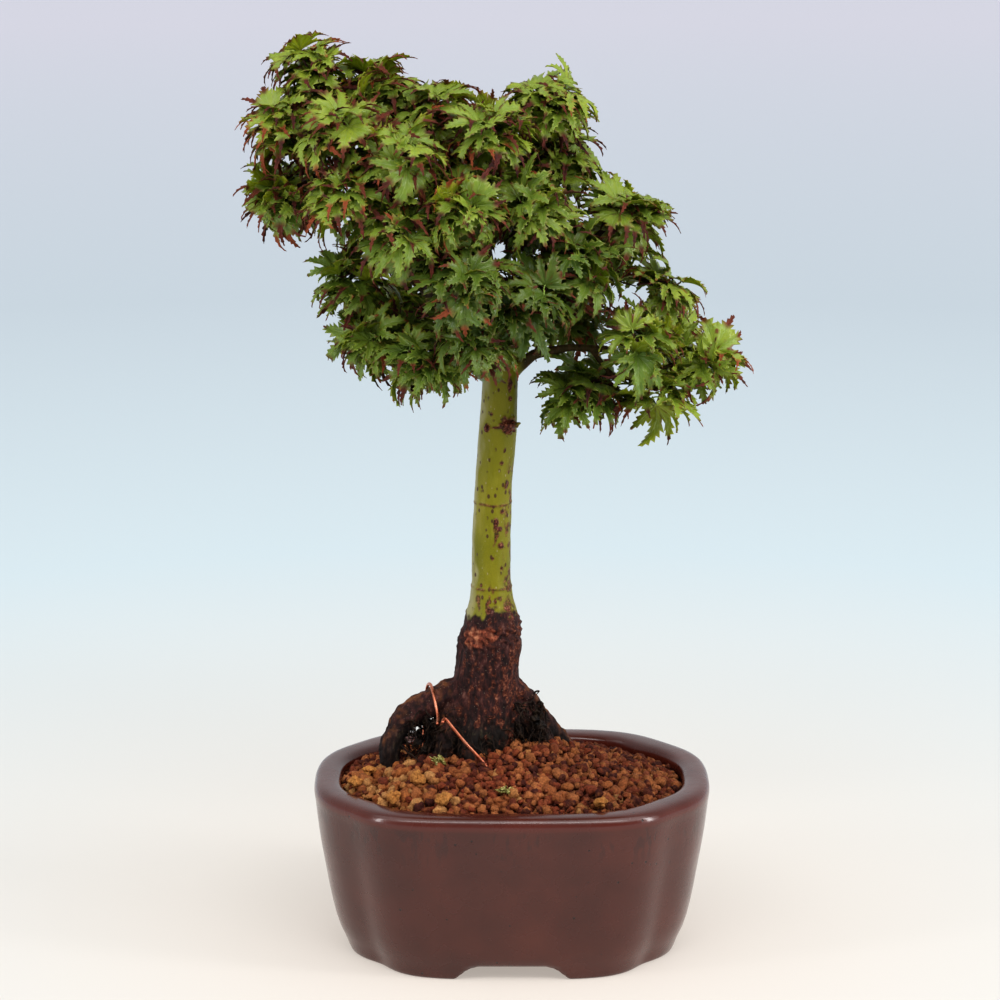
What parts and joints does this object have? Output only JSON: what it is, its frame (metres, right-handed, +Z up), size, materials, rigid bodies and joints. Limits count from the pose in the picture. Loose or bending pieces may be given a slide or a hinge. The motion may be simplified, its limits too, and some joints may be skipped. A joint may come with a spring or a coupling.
{
  "type": "potted bonsai maple",
  "caption": "Small lace-leaf maple with a bare trunk, an airy leaning crown and exposed roots, tied into a low four-lobed glazed pot of clay grains.",
  "frame": {"origin": "on the ground, under the middle of the whole object's bounding box", "axes": "+Z up along the trunk, +X to the right as the tree is displayed, +Y to its back"},
  "size_m": [0.2292, 0.1558, 0.4238],
  "materials": {
    "glaze": "dark reddish brown semi-gloss glaze with fine pinholes",
    "soil_grains": "matt red-brown clay grains, some ochre",
    "pale_clay": "matt, pale ochre",
    "bark": "smooth yellow-green bark above a rough dark brown graft and roots",
    "leaf": "satin crinkled green leaves, dry and brown at some tips",
    "moss": "matt moss",
    "copper_wire": "annealed copper wire, satin",
    "black_plastic": "black moulded mesh"
  },
  "bodies": {
    "root": {"pot": "glaze", "soil": "soil_grains", "tree_wood": "bark", "tie_wire": "copper_wire", "drain_screen_left": "black_plastic", "drain_screen_right": "black_plastic", "screen_clip_left": "copper_wire", "screen_clip_right": "copper_wire", "pale_lump_1": "pale_clay", "pale_lump_2": "pale_clay", "pale_lump_3": "pale_clay", "pale_lump_4": "pale_clay", "pale_lump_5": "pale_clay", "pale_lump_6": "pale_clay", "moss_tuft_front": "moss", "moss_tuft_root": "moss", "leaves_left_tip_top": "leaf", "leaves_left_tip_inner": "leaf", "leaves_left_shoulder": "leaf", "leaves_left_side": "leaf", "leaves_left_under": "leaf", "leaves_front_left_top": "leaf", "leaves_front_left_low": "leaf", "leaves_front_left_inner": "leaf", "leaves_front_left_base": "leaf", "leaves_top_centre": "leaf", "leaves_top_front": "leaf", "leaves_top_right": "leaf", "leaves_top_right_side": "leaf", "leaves_heart_left": "leaf", "leaves_heart_right": "leaf", "leaves_front_high": "leaf", "leaves_front_middle": "leaf", "leaves_front_low": "leaf", "leaves_front_right_top": "leaf", "leaves_front_right_low": "leaf", "leaves_front_right_side": "leaf", "leaves_right_top": "leaf", "leaves_right_side": "leaf", "leaves_low_right_tip": "leaf", "leaves_low_right_front": "leaf", "leaves_low_right_under": "leaf", "leaves_low_right_inner": "leaf", "leaves_low_left_tip": "leaf", "leaves_low_left_front": "leaf", "leaves_back_left_top": "leaf", "leaves_back_left_inner": "leaf", "leaves_back_left_side": "leaf", "leaves_back_left_base": "leaf", "leaves_back_top": "leaf", "leaves_back_middle": "leaf", "leaves_back_low_left": "leaf", "leaves_back_low": "leaf", "leaves_back_right_top": "leaf", "leaves_back_right_middle": "leaf", "leaves_back_right_side": "leaf", "leaves_back_right_low": "leaf", "leaves_back_right_tip": "leaf"}
  },
  "joints": []
}
